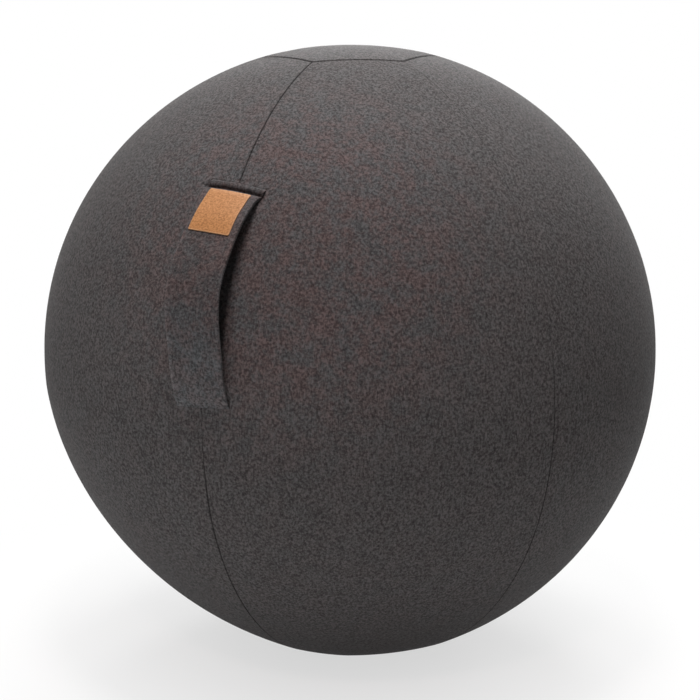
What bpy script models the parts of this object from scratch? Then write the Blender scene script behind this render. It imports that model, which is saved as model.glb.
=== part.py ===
"""Sitting ball: a felt cover of six gores and two hexagon caps, zipped over an inflated bladder.

A carrying strap with a label patch is sewn across the front seam. Units are metres and +Z is up.
The origin is the middle of the patch that flattens on the floor. The front seam faces -Y and the
zip runs down the rear seam, at +Y. Left and right are as seen from the front.
"""

from math import asin, atan, ceil, cos, pi, radians, sin, sqrt, tan

import bmesh
import bpy
from mathutils import Matrix, Vector
from mathutils.geometry import interpolate_bezier

# Gap between two pieces that touch
CLEAR = 0.0003

# Cover
BALL_D = 0.650
FOOT_R = 0.040
GORES = 6
COVER_T = 0.0025
CAP_R = 0.092  # from the pole to a corner of the hexagon, along the surface
SEAM_V = 0.0007  # half the width of a seam's groove at the outside
SLACK_DEPTH = 0.0101  # the cover hangs a little slack on its lower left side
SLACK_REACH = 0.231
SLACK_FALL = 1.2
SLACK_AZIMUTH = radians(-38)
SLACK_LATITUDE = radians(-42)

# Bladder and valve
BLADDER_T = 0.0010
BLADDER_GAP = 0.0007
FURROW = 0.0050  # how far the zip presses into the bladder
VALVE_LATITUDE = radians(-15)
VALVE_BORE_R = 0.0042
VALVE_NECK_R = 0.0065
VALVE_NECK_L = 0.014
VALVE_FLANGE_R = 0.011
VALVE_FLANGE_T = 0.0014
PLUG_HEAD_R = 0.008
PLUG_HEAD_T = 0.0020
PLUG_STEM_L = 0.012
PLUG_TAPER = 0.0004

# Strap: the knots are latitudes, and how far the underside stands off the ball there
STRAP_W = 0.054
FACE_T = 0.0020
LINING_T = 0.0013
STRAP_TAB = 0.009  # the top end lies flat on the ball for this length
STRAP_TOP = radians(39.2)  # the crease below it, where the strap leaves the ball
STRAP_TOP_SKEW = radians(8.1)  # how far the crease and the low end lie askew, lower on the right
STRAP_BEND = (radians(31.0), 0.0185)
STRAP_CREST = (radians(20.5), 0.0308)
STRAP_LOW = (radians(10.0), 0.0121)
STRAP_LANDING = (radians(4.2), 0.0010)
STRAP_END = radians(3.1)
STRAP_END_SKEW = radians(-3.2)
LABEL_W = 0.043
LABEL_L = 0.052
LABEL_T = 0.0012
LABEL_FROM_CREASE = 0.0085
LABEL_SKEW = radians(-2.4)  # against the strap's crease

# Zip: lengths run down the rear seam from the top of the slot
SLOT_TOP = radians(8)
SLOT_L = 0.325
SLOT_HALF = 0.0070
SLOT_TAPER = 0.017  # the slot narrows to the seam over this length, and the tapes end with it
TAPE_T = 0.0006
TAPE_EDGE = 0.013
CHAIN_T = 0.0026
TOOTH_PITCH = 0.0044
TOOTH_ROOT = 0.0013
TOOTH_TIP = 0.0020
TOOTH_REACH = 0.0015
SPINE_IN = 0.0020
SPINE_OUT = 0.0032
STOP_L = 0.0030
BOTTOM_STOP_L = 0.0050
BOTTOM_STOP_WRAP = 0.0006

# Slider and pull
SLIDER_AT = 0.011  # middle of the slider, down from the top of the slot
SLIDER_L = 0.016
SLIDER_PLATE_T = 0.0014
SLIDER_PLAY = 0.0004
SLIDER_REAR = 0.0049
SLIDER_FRONT = 0.0060
LIP_IN = 0.0036
LIP_SLIT = 0.0007
POST_TIP = 0.0012  # tip of the wedge, up from the slider's middle
POST_W = 0.0030
BRIDGE_W = 0.0020
BRIDGE_OPEN_L = 0.0040
BRIDGE_OPEN_H = 0.0023
BRIDGE_T = 0.0012
PULL_W = 0.0064
PULL_L = 0.026
PULL_T = 0.0012
PULL_WINDOW = 0.0065

# Fineness of the curved pieces
GORE_COLUMNS = 8
BLADDER_COLUMNS = 4
CAP_RINGS = 2
ROW_STEP = radians(9.4)
STRAP_STEPS = 7  # between two knots of the strap
STRAP_COLUMNS = 4
LABEL_ROWS = 7
TURN_STEPS = 24

# What follows from the sizes above
BALL_R = BALL_D / 2
CENTRE_Z = sqrt(BALL_R**2 - FOOT_R**2)
FOOT_ANGLE = asin(FOOT_R / BALL_R)
GORE_SPAN = 2 * pi / GORES
CAP_ANGLE = CAP_R / BALL_R
FACET_FALL = tan(GORE_SPAN / GORE_COLUMNS / 2)  # of a gore's first facet, away from its seam
CHAIN_R = BALL_R - COVER_T - CLEAR - TAPE_EDGE * FACET_FALL - TAPE_T / 2
SLOT_BOTTOM = SLOT_TOP - SLOT_L / CHAIN_R
TAPER_ANGLE = SLOT_TAPER / CHAIN_R
BLADDER_DEPTH = COVER_T + BLADDER_GAP
ROWS_FROM = SLIDER_AT + 0.5 * TOOTH_PITCH - POST_TIP
TEETH = int((SLOT_L - ROWS_FROM - BOTTOM_STOP_L) / TOOTH_PITCH)
ROWS_TO = ROWS_FROM + (TEETH + 0.5) * TOOTH_PITCH
BOTTOM_STOP_AT = ROWS_TO + CLEAR + BOTTOM_STOP_L / 2

FELT = ((0.072, 0.068, 0.069), 0.95, 0.0)
WEBBING = ((0.040, 0.039, 0.040), 0.90, 0.0)
LEATHER = ((0.470, 0.300, 0.165), 0.70, 0.0)
VINYL = ((0.350, 0.360, 0.370), 0.45, 0.0)
ZIP_CLOTH = ((0.030, 0.030, 0.031), 0.90, 0.0)
RESIN = ((0.022, 0.022, 0.024), 0.40, 0.0)
STEEL = ((0.300, 0.300, 0.310), 0.35, 1.0)


def towards(azimuth, latitude):
    """Unit vector from the ball's centre: azimuth 0 is the front seam and turns to the right."""
    return Vector((sin(azimuth) * cos(latitude), -cos(azimuth) * cos(latitude), sin(latitude)))


def slack(direction):
    """How far the cover falls short of a true ball on its slack side."""
    away = direction.angle(towards(SLACK_AZIMUTH, SLACK_LATITUDE)) * BALL_R
    if away >= SLACK_REACH:
        return 0.0
    return SLACK_DEPTH * cos(0.5 * pi * away / SLACK_REACH) ** SLACK_FALL


def skin(direction, depth):
    """Point at a depth under the cover's outside, from the ball's centre. The foot is flat."""
    down = -direction.z
    if down > cos(FOOT_ANGLE):
        return direction * ((CENTRE_Z - depth * cos(FOOT_ANGLE)) / down)
    return direction * (BALL_R - slack(direction) - depth)


def cap_edge(azimuth):
    """Latitude of the top cap's straight edges, whose corners lie on the seams."""
    off = azimuth % GORE_SPAN - GORE_SPAN / 2
    return pi / 2 - atan(tan(CAP_ANGLE) * cos(GORE_SPAN / 2) / cos(off))


def coarse_rows():
    """Latitudes of the rows of facets on a seam, from cap to cap, with rows at the strap and slot."""
    marks = [STRAP_TOP, STRAP_LANDING[0], SLOT_TOP + TAPER_ANGLE, SLOT_TOP, SLOT_BOTTOM,
             SLOT_BOTTOM - TAPER_ANGLE]
    stops = [cap_edge(0.0)] + sorted(marks, reverse=True) + [-cap_edge(0.0)]
    rows = [stops[0]]
    for upper, lower in zip(stops, stops[1:]):
        steps = ceil((upper - lower) / ROW_STEP)
        rows += [upper + (lower - upper) * i / steps for i in range(1, steps + 1)]
    return rows


def fine_rows(rows):
    """The same rows with one more between each two along the slot."""
    result = [rows[0]]
    for upper, lower in zip(rows, rows[1:]):
        if upper <= SLOT_TOP + TAPER_ANGLE and lower >= SLOT_BOTTOM - TAPER_ANGLE:
            result.append((upper + lower) / 2)
        result.append(lower)
    return result


ROWS = coarse_rows()


def row_latitude(row, azimuth):
    """Rows above the strap and below the slot bend to meet the straight edges of the caps."""
    corner, edge = cap_edge(0.0), cap_edge(azimuth)
    top = max(STRAP_TOP, SLOT_TOP + TAPER_ANGLE)
    bottom = min(STRAP_LANDING[0], SLOT_BOTTOM - TAPER_ANGLE)
    if row > top:
        return top + (row - top) * (edge - top) / (corner - top)
    if row < bottom:
        return bottom - (bottom - row) * (edge + bottom) / (corner + bottom)
    return row


def slot_inset(latitude, inset):
    """Half the opening between the two rear gores: a slot for the zip, else the seam."""
    if latitude > SLOT_TOP:
        share = 1 - (latitude - SLOT_TOP) / TAPER_ANGLE
    else:
        share = 1 - (SLOT_BOTTOM - latitude) / TAPER_ANGLE
    return inset + (SLOT_HALF - inset) * min(max(share, 0.0), 1.0)


def quads(bm, rows, wrap):
    """Faces between neighbouring rows of vertices."""
    for upper, lower in zip(rows, rows[1:]):
        for i in range(len(upper) if wrap else len(upper) - 1):
            j = (i + 1) % len(upper)
            bm.faces.new((upper[i], lower[i], lower[j], upper[j]))


def fan(bm, point, ring):
    """Faces from one point to a ring of vertices."""
    pole = bm.verts.new(point)
    for i, vert in enumerate(ring):
        bm.faces.new((pole, vert, ring[(i + 1) % len(ring)]))


def add_verts(bm, rows):
    return [[bm.verts.new(point) for point in row] for row in rows]


def paint(obj, finish):
    """Give an object a material of its own."""
    colour, roughness, metallic = finish
    material = bpy.data.materials.new(obj.name)
    material.use_nodes = True
    shader = material.node_tree.nodes["Principled BSDF"]
    shader.inputs["Base Color"].default_value = (*colour, 1.0)
    shader.inputs["Roughness"].default_value = roughness
    shader.inputs["Metallic"].default_value = metallic
    obj.data.materials.append(material)


def solid(name, bm, finish, parent, at=None):
    """Turn a closed bmesh into a named object, placed in its parent's frame."""
    mesh = bpy.data.meshes.new(name)
    bm.to_mesh(mesh)
    bm.free()
    mesh.shade_smooth()
    mesh.set_sharp_from_angle(angle=radians(30))
    obj = bpy.data.objects.new(name, mesh)
    bpy.context.scene.collection.objects.link(obj)
    obj.parent = parent
    obj.matrix_local = at or Matrix.Identity(4)
    if finish:
        paint(obj, finish)
    return obj


def empty(name, location, parent=None):
    obj = bpy.data.objects.new(name, None)
    bpy.context.scene.collection.objects.link(obj)
    obj.parent = parent
    obj.location = location
    return obj


def face_out(bm):
    bmesh.ops.recalc_face_normals(bm, faces=bm.faces[:])
    return bm


def slab(outer, inner):
    """Closed sheet between two grids of points of the same size."""
    bm = bmesh.new()
    over, under = add_verts(bm, outer), add_verts(bm, inner)
    quads(bm, [a + b[::-1] for a, b in zip(over, under)], wrap=True)
    for a, b in ((over[0], under[0]), (over[-1], under[-1])):
        quads(bm, [a, b], wrap=False)
    return face_out(bm)


def prism(outline, low, high):
    """Outline in X and Y, drawn up from one Z to another."""
    bm = bmesh.new()
    lower, upper = add_verts(bm, [[(x, y, z) for x, y in outline] for z in (low, high)])
    quads(bm, [lower, upper], wrap=True)
    bm.faces.new(lower)
    bm.faces.new(upper)
    return face_out(bm)


def turned(profile, closed):
    """Profile of (radius, height) turned round Z: closed on itself, or on the axis at both ends."""
    bm = bmesh.new()
    turns = [2 * pi * i / TURN_STEPS for i in range(TURN_STEPS)]
    rings = [[(r * cos(a), r * sin(a), z) for a in turns] for r, z in profile if r > 0]
    rings = add_verts(bm, rings)
    quads(bm, rings + rings[:1] if closed else rings, wrap=True)
    if not closed:
        fan(bm, (0, 0, profile[0][1]), rings[0])
        fan(bm, (0, 0, profile[-1][1]), rings[-1])
    return face_out(bm)


def combine(obj, tool, operation):
    """Boolean with a hidden tool."""
    tool.hide_render = True
    tool.display_type = 'WIRE'
    modifier = obj.modifiers.new(tool.name, 'BOOLEAN')
    modifier.operation = operation
    modifier.object = tool


def make_gore(name, index, ball):
    """One felt gore. The two beside the rear seam leave the slot open for the zip."""
    left, right = index * GORE_SPAN, (index + 1) * GORE_SPAN
    slot_left, slot_right = index * 2 == GORES, (index + 1) * 2 == GORES
    rows = fine_rows(ROWS) if slot_left or slot_right else ROWS

    def layer(depth, inset):
        grid = []
        for number, row in enumerate(rows):
            reach = BALL_R * cos(row)
            start = left + (slot_inset(row, inset) if slot_left else inset) / reach
            stop = right - (slot_inset(row, inset) if slot_right else inset) / reach
            end_row = {0: -1, len(rows) - 1: 1}.get(number, 0)
            line = []
            for i in range(GORE_COLUMNS + 1):
                azimuth = start + (stop - start) * i / GORE_COLUMNS
                latitude = row_latitude(row, azimuth) + end_row * inset / BALL_R
                line.append(skin(towards(azimuth, latitude), depth))
            grid.append(line)
        return grid

    return solid(name, slab(layer(0.0, SEAM_V), layer(COVER_T, CLEAR / 2)), FELT, ball)


def make_cap(name, up, first_ring, ball):
    """Hexagon cap round a pole: up is 1 for the crown and -1 for the foot."""
    bm = bmesh.new()
    count = GORES * GORE_COLUMNS

    def layer(depth, inset):
        rings = [[] for _ in range(CAP_RINGS + 1)]
        for i in range(count):
            azimuth = 2 * pi * i / count
            edge = pi / 2 - cap_edge(azimuth) - inset / BALL_R
            for number, ring in enumerate(rings):
                from_pole = first_ring + (edge - first_ring) * number / CAP_RINGS
                ring.append(skin(towards(azimuth, up * (pi / 2 - from_pole)), depth))
        return add_verts(bm, rings)

    outer, inner = layer(0.0, SEAM_V), layer(COVER_T, CLEAR / 2)
    quads(bm, outer + inner[::-1], wrap=True)
    fan(bm, skin(Vector((0, 0, up)), 0.0), outer[0])
    fan(bm, skin(Vector((0, 0, up)), COVER_T), inner[0])
    return solid(name, face_out(bm), FELT, ball)


def bladder_point(row, azimuth, depth):
    """Point of the bladder, which the zip presses in along the rear seam."""
    past = TAPER_ANGLE + ROW_STEP
    if abs(azimuth - pi) < 0.001 and SLOT_BOTTOM - past < row < SLOT_TOP + past:
        depth += FURROW
    return skin(towards(azimuth, row_latitude(row, azimuth)), BLADDER_DEPTH + depth)


def make_bladder(ball):
    """Inflated ball with a hole for the valve, and the frame of the facet that holds the valve."""
    count = GORES * BLADDER_COLUMNS
    azimuths = [2 * pi * i / count for i in range(count)]

    def surface(depth):
        bm = bmesh.new()
        corner = cap_edge(0.0)
        crown = [corner + (pi / 2 - corner) * i / 3 for i in (2, 1)]
        foot = [-corner - (pi / 2 - FOOT_ANGLE - corner) * i / 2 for i in (1, 2)]
        rings = []
        for row in crown + ROWS + foot:
            if abs(row) > corner:
                points = [skin(towards(a, row), BLADDER_DEPTH + depth) for a in azimuths]
            else:
                points = [bladder_point(row, a, depth) for a in azimuths]
            rings.append(points)
        rings = add_verts(bm, rings)
        quads(bm, rings, wrap=True)
        for up, ring in ((1, rings[0]), (-1, rings[-1])):
            fan(bm, skin(Vector((0, 0, up)), BLADDER_DEPTH + depth), ring)
        return face_out(bm)

    bm, hollow = surface(0.0), surface(BLADDER_T)
    bmesh.ops.reverse_faces(hollow, faces=hollow.faces[:])
    inside = bpy.data.meshes.new("bladder_inside")
    hollow.to_mesh(inside)
    hollow.free()
    bm.from_mesh(inside)
    bpy.data.meshes.remove(inside)
    bladder = solid("bladder", bm, VINYL, ball)

    number = max(i for i, row in enumerate(ROWS) if row >= VALVE_LATITUDE)
    beside = pi + 2 * pi / count
    upper = [bladder_point(ROWS[number], a, 0.0) for a in (pi, beside)]
    lower = [bladder_point(ROWS[number + 1], a, 0.0) for a in (pi, beside)]
    middle = sum(upper + lower, Vector()) / 4
    along = (upper[0] - upper[1]).normalized()
    normal = along.cross((upper[0] + upper[1] - lower[0] - lower[1])).normalized()
    if normal.dot(middle) < 0:
        normal = -normal
    rise = normal.cross(along)
    frame = Matrix((along, rise, normal)).transposed().to_4x4()
    frame.translation = middle

    hole_r = VALVE_NECK_R + CLEAR
    depth = BLADDER_T + CLEAR
    hole = solid("valve_hole", turned([(0, depth), (hole_r, depth), (hole_r, -2 * depth),
                                       (0, -2 * depth)], closed=False), None, ball, frame)
    combine(bladder, hole, 'DIFFERENCE')
    return frame


def make_valve(frame, ball):
    """Flanged seat in the bladder's wall, and the plug pushed into its bore."""
    top = CLEAR + VALVE_FLANGE_T
    low = -BLADDER_T - VALVE_NECK_L
    rim = VALVE_FLANGE_T / 3
    seat = [(VALVE_BORE_R, top), (VALVE_FLANGE_R - rim, top), (VALVE_FLANGE_R, top - rim),
            (VALVE_FLANGE_R, CLEAR), (VALVE_NECK_R, CLEAR), (VALVE_NECK_R, low), (VALVE_BORE_R, low)]
    solid("valve_seat", turned(seat, closed=True), VINYL, ball, frame)

    under = top + CLEAR
    stem = VALVE_BORE_R - CLEAR
    rim = PLUG_HEAD_T / 3
    plug = [(0, under + PLUG_HEAD_T), (PLUG_HEAD_R - rim, under + PLUG_HEAD_T),
            (PLUG_HEAD_R, under + PLUG_HEAD_T - rim), (PLUG_HEAD_R, under), (stem, under),
            (stem - PLUG_TAPER, under - PLUG_STEM_L), (0, under - PLUG_STEM_L)]
    solid("valve_plug", turned(plug, closed=False), VINYL, ball, frame)


def seam_point(latitude, standoff):
    """Place in the plane of the front seam, as (outward, up) from the ball's centre."""
    reach = BALL_R + standoff
    return Vector((reach * cos(latitude), reach * sin(latitude)))


def smooth_curve(knots, steps):
    """Points along a curve that passes through the knots."""
    ends = [2 * knots[0] - knots[1]] + knots + [2 * knots[-1] - knots[-2]]
    points = []
    for before, a, b, after in zip(ends, ends[1:], ends[2:], ends[3:]):
        span = (b - a).length
        leave = (b - before) / (span + (a - before).length) * span / 3
        arrive = (after - a) / (span + (after - b).length) * span / 3
        points += interpolate_bezier(a, a + leave, b - arrive, b, steps + 1)[:-1]
    return points + [knots[-1]]


def strap_line(x):
    """Underside of the strap at a place across it, in the seam's plane, from one sewn end to the other."""
    top = STRAP_TOP - x * tan(STRAP_TOP_SKEW) / BALL_R
    end = STRAP_END - x * tan(STRAP_END_SKEW) / BALL_R
    tab = [seam_point(top + share * STRAP_TAB / BALL_R, CLEAR) for share in (1.0, 0.5)]
    knots = [seam_point(*knot) for knot in (STRAP_BEND, STRAP_CREST, STRAP_LOW, STRAP_LANDING)]
    line = tab + smooth_curve([seam_point(top, CLEAR)] + knots + [seam_point(end, CLEAR)], STRAP_STEPS)
    return [p if p.length > BALL_R + CLEAR else p.normalized() * (BALL_R + CLEAR) for p in line]


def offset(line, distance):
    """The line moved sideways, away from the ball."""
    moved = []
    for i, point in enumerate(line):
        run = line[min(i + 1, len(line) - 1)] - line[max(i - 1, 0)]
        out = Vector((-run.y, run.x)).normalized()
        moved.append(point + distance * out)
    return moved


def at_run(line, run):
    """The point at a length along a line."""
    for a, b in zip(line, line[1:]):
        span = (b - a).length
        if run <= span:
            return a.lerp(b, run / span)
        run -= span
    return line[-1]


def label_line(line, x):
    """The stretch of the strap's line under the label at a place across it."""
    start = STRAP_TAB + LABEL_FROM_CREASE + x * tan(LABEL_SKEW)
    return [at_run(line, start + LABEL_L * i / LABEL_ROWS) for i in range(LABEL_ROWS + 1)]


def strip(low, high, width, part=None):
    """Strip of cloth between two heights above the strap's underside.

    It is as round as the ball where it lies on it. A part is a stretch of its length.
    """
    sheets = []
    for height in (high, low):
        columns = []
        for i in range(STRAP_COLUMNS + 1):
            x = width * (i / STRAP_COLUMNS - 0.5)
            line = offset(strap_line(x), height)
            if part:
                line = part(line, x)
            column = []
            for point in line:
                hold = max(0.0, 1 - (point.length - BALL_R) / STRAP_CREST[1])
                fall = hold * (BALL_R - sqrt(BALL_R**2 - x**2))
                place = point - fall * point.normalized()
                column.append(Vector((x, -place.x, place.y)))
            columns.append(column)
        sheets.append(list(zip(*columns)))
    return slab(*sheets)


def make_strap(ball):
    """Felt face over a webbing lining, and the label on the face."""
    crest = seam_point(*STRAP_CREST)
    press = empty("handle_press", (0, -crest.x, crest.y), ball)
    here = Matrix.Translation(-press.location)
    solid("handle_lining", strip(0.0, LINING_T, STRAP_W), WEBBING, press, here)
    low = LINING_T + CLEAR
    solid("handle_face", strip(low, low + FACE_T, STRAP_W), FELT, press, here)
    low += FACE_T + CLEAR
    solid("label_patch", strip(low, low + LABEL_T, LABEL_W, label_line), LEATHER, press, here)


def zip_point(x, height, run):
    """Place on the zip: sideways, above the chain's middle, and down from the top of the slot."""
    latitude = SLOT_TOP - run / CHAIN_R
    return Vector((x, (CHAIN_R + height) * cos(latitude), (CHAIN_R + height) * sin(latitude)))


def make_tape(name, side, ball):
    """One cloth tape, sewn under the edge of its gore, whose facets it follows.

    Its inner edge holds the teeth. Past the slider and past the bottom stop the two tapes meet.
    """
    ends = (SLOT_TOP + TAPER_ANGLE, SLOT_BOTTOM - TAPER_ANGLE)
    rows = [row for row in fine_rows(ROWS) if ends[0] >= row >= ends[1]]
    parts_at = SLIDER_AT - SLIDER_L / 2 - CLEAR
    meets_at = BOTTOM_STOP_AT + BOTTOM_STOP_L / 2 + CLEAR
    wide = (parts_at + SPINE_OUT, meets_at)
    close = (parts_at, meets_at + SPINE_OUT)
    runs = sorted([(SLOT_TOP - row) * CHAIN_R for row in rows] + [*wide, *close])
    sheets = []
    for height in (TAPE_T / 2, -TAPE_T / 2):
        sheet = []
        for run in runs:
            if close[0] < run < close[1]:
                edge = SPINE_OUT + CLEAR
            else:
                edge = CLEAR / 2
            sheet.append([zip_point(side * x, height, run) for x in (edge, TAPE_EDGE)])
        sheets.append(sheet)
    return solid(name, slab(*sheets), ZIP_CLOTH, ball)


def make_teeth(name, side, ball):
    """One row of moulded teeth on their spine. The left row is half a pitch lower."""
    bm = bmesh.new()
    shift = 0.25 * TOOTH_PITCH * (1 - side) + 0.5 * TOOTH_ROOT
    levels = (CHAIN_T / 2, -CHAIN_T / 2)

    def column(x, run):
        return [bm.verts.new(zip_point(side * x, height, run)) for height in levels]

    back, front = [], []
    for number in range(TEETH):
        root = ROWS_FROM + shift + number * TOOTH_PITCH
        tip = root + (TOOTH_ROOT - TOOTH_TIP) / 2
        for run in (root, root + TOOTH_ROOT):
            back.append(column(SPINE_OUT, run))
            front.append(column(SPINE_IN, run))
        head = [column(-TOOTH_REACH, run) for run in (tip, tip + TOOTH_TIP)]
        quads(bm, [front[-2] + front[-1][::-1], head[0] + head[1][::-1]], wrap=True)
        bm.faces.new(head[0] + head[1][::-1])
    for i in range(len(back) - 1):
        near, far = back[i] + front[i][::-1], back[i + 1] + front[i + 1][::-1]
        for j in range(4):
            if j == 2 and i % 2 == 0:
                continue
            k = (j + 1) % 4
            bm.faces.new((near[j], far[j], far[k], near[k]))
    for end in (0, -1):
        bm.faces.new(back[end] + front[end][::-1])
    return solid(name, face_out(bm), RESIN, ball)


def zip_frame(run):
    """Frame on the chain's middle: X to the right, Y up the seam, Z outward, seen from behind."""
    latitude = SLOT_TOP - run / CHAIN_R
    up = Vector((0, -sin(latitude), cos(latitude)))
    out = Vector((0, cos(latitude), sin(latitude)))
    frame = Matrix((up.cross(out), up, out)).transposed().to_4x4()
    frame.translation = CHAIN_R * out
    return frame


def block(half_x, length, half_z, bevel):
    """Block with its long edges rounded off."""
    outline = [(-half_x + bevel, -half_z), (half_x - bevel, -half_z), (half_x, -half_z + bevel),
               (half_x, half_z - bevel), (half_x - bevel, half_z), (-half_x + bevel, half_z),
               (-half_x, half_z - bevel), (-half_x, -half_z + bevel)]
    bm = prism(outline, -length / 2, length / 2)
    bmesh.ops.rotate(bm, verts=bm.verts[:], matrix=Matrix.Rotation(pi / 2, 3, 'X'))
    return bm


def make_stops(ball):
    """Two top stops, on the ends of the rows, and one bottom stop clamped across both."""
    height = CHAIN_T / 2
    grip = (SPINE_OUT - SPINE_IN) / 2
    for name, side in (("zip_top_stop_left", -1), ("zip_top_stop_right", 1)):
        shift = 0.25 * TOOTH_PITCH * (1 - side) + 0.5 * TOOTH_ROOT
        frame = zip_frame(ROWS_FROM + shift - CLEAR - STOP_L / 2)
        frame.translation += Vector((side * (SPINE_IN + grip), 0, 0))
        solid(name, block(grip, STOP_L, height, grip / 3), STEEL, ball, frame)
    frame = zip_frame(BOTTOM_STOP_AT)
    wrap = height + BOTTOM_STOP_WRAP
    solid("zip_bottom_stop", block(SPINE_OUT, BOTTOM_STOP_L, wrap, wrap / 3), STEEL, ball, frame)


def make_slider(ball):
    """Slider: two shaped plates with lips, the wedge that parts the teeth, and the pull's bridge."""
    axis = empty("zip_slide", (0, 0, 0), ball)
    frame = zip_frame(SLIDER_AT)
    half = SLIDER_L / 2
    low = CHAIN_T / 2 + SLIDER_PLAY
    high = low + SLIDER_PLATE_T
    shoulder = 0.4 * half
    outline = [(-SLIDER_REAR, -half), (SLIDER_REAR, -half), (SLIDER_FRONT, shoulder),
               (SLIDER_REAR, half), (-SLIDER_REAR, half), (-SLIDER_FRONT, shoulder)]
    slider = solid("zip_slider", prism(outline, low, high), STEEL, axis, frame)
    bevel = slider.modifiers.new("rounded", 'BEVEL')
    bevel.width = SLIDER_PLATE_T / 4
    bevel.segments = 1
    sunk = SLIDER_PLATE_T / 2

    def add(name, bm, turn=None):
        at = frame @ turn.to_4x4() if turn else frame
        combine(slider, solid(name, bm, None, axis, at), 'UNION')

    wedge = [(0, POST_TIP), (POST_W / 2, half - SLIDER_PLATE_T), (0, half),
             (-POST_W / 2, half - SLIDER_PLATE_T)]
    add("slider_wedge", prism(wedge, -low - sunk, low + sunk))
    add("slider_back_plate", prism(outline, -high, -low))
    for name, side in (("left", -1), ("right", 1)):
        lip = [(side * LIP_IN, -half + sunk), (side * (SLIDER_REAR - sunk / 2), -half + sunk),
               (side * (SLIDER_REAR - sunk / 2), POST_TIP), (side * LIP_IN, POST_TIP)]
        add("slider_top_lip_" + name, prism(lip, LIP_SLIT, low + sunk))
        add("slider_back_lip_" + name, prism(lip, -low - sunk, -LIP_SLIT))
    foot = BRIDGE_OPEN_L / 2
    leg = foot + BRIDGE_T
    roof = high + BRIDGE_OPEN_H
    crown = roof + BRIDGE_T
    bridge = [(-leg, high - sunk), (-foot, high - sunk), (-foot, roof), (foot, roof),
              (foot, high - sunk), (leg, high - sunk), (leg, roof), (foot, crown), (-foot, crown),
              (-leg, roof)]
    stand = Matrix(((0, 0, 1), (1, 0, 0), (0, 1, 0)))
    add("slider_bridge", prism(bridge, -BRIDGE_W / 2, BRIDGE_W / 2), stand)

    hinge = frame.copy()
    hinge.translation += frame.to_3x3() @ Vector((0, 0, high + BRIDGE_OPEN_H / 2))
    make_pull(axis, hinge)


def make_pull(axis, hinge):
    """Pull: a tab with a window, whose top bar passes under the slider's bridge."""
    half, bar = PULL_W / 2, PULL_T / 2
    tip = half / 2
    outline = [(-half + bar, bar), (half - bar, bar), (half, -bar), (half, -PULL_WINDOW),
               (0.75 * half, -2 * PULL_WINDOW), (half, -PULL_L + tip), (half - tip, -PULL_L),
               (-half + tip, -PULL_L), (-half, -PULL_L + tip), (-0.75 * half, -2 * PULL_WINDOW),
               (-half, -PULL_WINDOW), (-half, -bar)]
    pull = solid("zip_pull", prism(outline, -bar, bar), STEEL, axis, hinge)
    slot = BRIDGE_W / 2 + SLIDER_PLAY
    window = [(-slot, -PULL_WINDOW), (slot, -PULL_WINDOW), (slot, -bar), (-slot, -bar)]
    combine(pull, solid("pull_window", prism(window, -PULL_T, PULL_T), None, axis, hinge),
            'DIFFERENCE')


def main():
    for obj in list(bpy.data.objects):
        bpy.data.objects.remove(obj)
    ball = empty("ball", (0, 0, CENTRE_Z))
    names = ("front_right", "right", "rear_right", "rear_left", "left", "front_left")
    for index, name in enumerate(names):
        make_gore("gore_" + name, index, ball)
    make_cap("top_cap", 1, CAP_ANGLE / 3, ball)
    make_cap("base_cap", -1, FOOT_ANGLE, ball)
    make_valve(make_bladder(ball), ball)
    make_strap(ball)
    for name, side in (("left", -1), ("right", 1)):
        make_tape("zip_tape_" + name, side, ball)
        make_teeth("zip_teeth_" + name, side, ball)
    make_stops(ball)
    make_slider(ball)


main()
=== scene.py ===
"""Looks of the sitting ball: felt cover, carrying strap, label and zip, in metres, +Z up.

The ball's centre is on the Z axis. Azimuth 0 is the front seam, at -Y, and turns to the right.
"""

from math import asin, atan, atan2, ceil, cos, exp, pi, radians, sin, sqrt, tan

import bmesh
import bpy
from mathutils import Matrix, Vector, noise
from mathutils.geometry import interpolate_bezier


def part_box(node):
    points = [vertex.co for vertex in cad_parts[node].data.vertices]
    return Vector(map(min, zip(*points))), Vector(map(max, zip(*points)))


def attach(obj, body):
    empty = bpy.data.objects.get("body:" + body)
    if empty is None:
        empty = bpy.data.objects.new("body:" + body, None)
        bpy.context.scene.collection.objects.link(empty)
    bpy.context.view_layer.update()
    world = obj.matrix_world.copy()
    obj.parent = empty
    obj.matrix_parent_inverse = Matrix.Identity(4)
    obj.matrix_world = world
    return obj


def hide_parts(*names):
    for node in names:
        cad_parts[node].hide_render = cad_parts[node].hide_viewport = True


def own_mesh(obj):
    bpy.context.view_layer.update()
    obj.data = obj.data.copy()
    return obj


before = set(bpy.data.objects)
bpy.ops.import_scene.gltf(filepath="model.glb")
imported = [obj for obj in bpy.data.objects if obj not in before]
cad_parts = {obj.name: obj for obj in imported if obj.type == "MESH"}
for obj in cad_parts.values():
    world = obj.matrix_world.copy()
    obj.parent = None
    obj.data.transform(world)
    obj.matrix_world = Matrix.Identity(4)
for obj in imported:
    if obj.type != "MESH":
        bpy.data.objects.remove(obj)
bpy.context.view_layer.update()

# Sizes that the solids have
CLEAR = 0.0003
BALL_R = 0.325
FOOT_R = 0.040
COVER_T = 0.0025
CAP_R = 0.092
BLADDER_DEPTH = COVER_T + 0.0007
BLADDER_T = 0.0010
FURROW = 0.0050
VALVE_HOLE_R = 0.0068
VALVE_FLANGE_T = 0.0014
SLACK_DEPTH = 0.0101
SLACK_REACH = 0.231
SLACK_FALL = 1.2
SLACK_AZIMUTH = radians(-38)
SLACK_LATITUDE = radians(-42)
STRAP_W = 0.054
FACE_T = 0.0020
LINING_T = 0.0013
STRAP_TAB = 0.009
STRAP_TOP = radians(39.2)
STRAP_TOP_SKEW = radians(8.1)
STRAP_BEND = (radians(31.0), 0.0185)
STRAP_CREST = (radians(20.5), 0.0308)
STRAP_LOW = (radians(10.0), 0.0121)
STRAP_LANDING = (radians(4.2), 0.0010)
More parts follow.
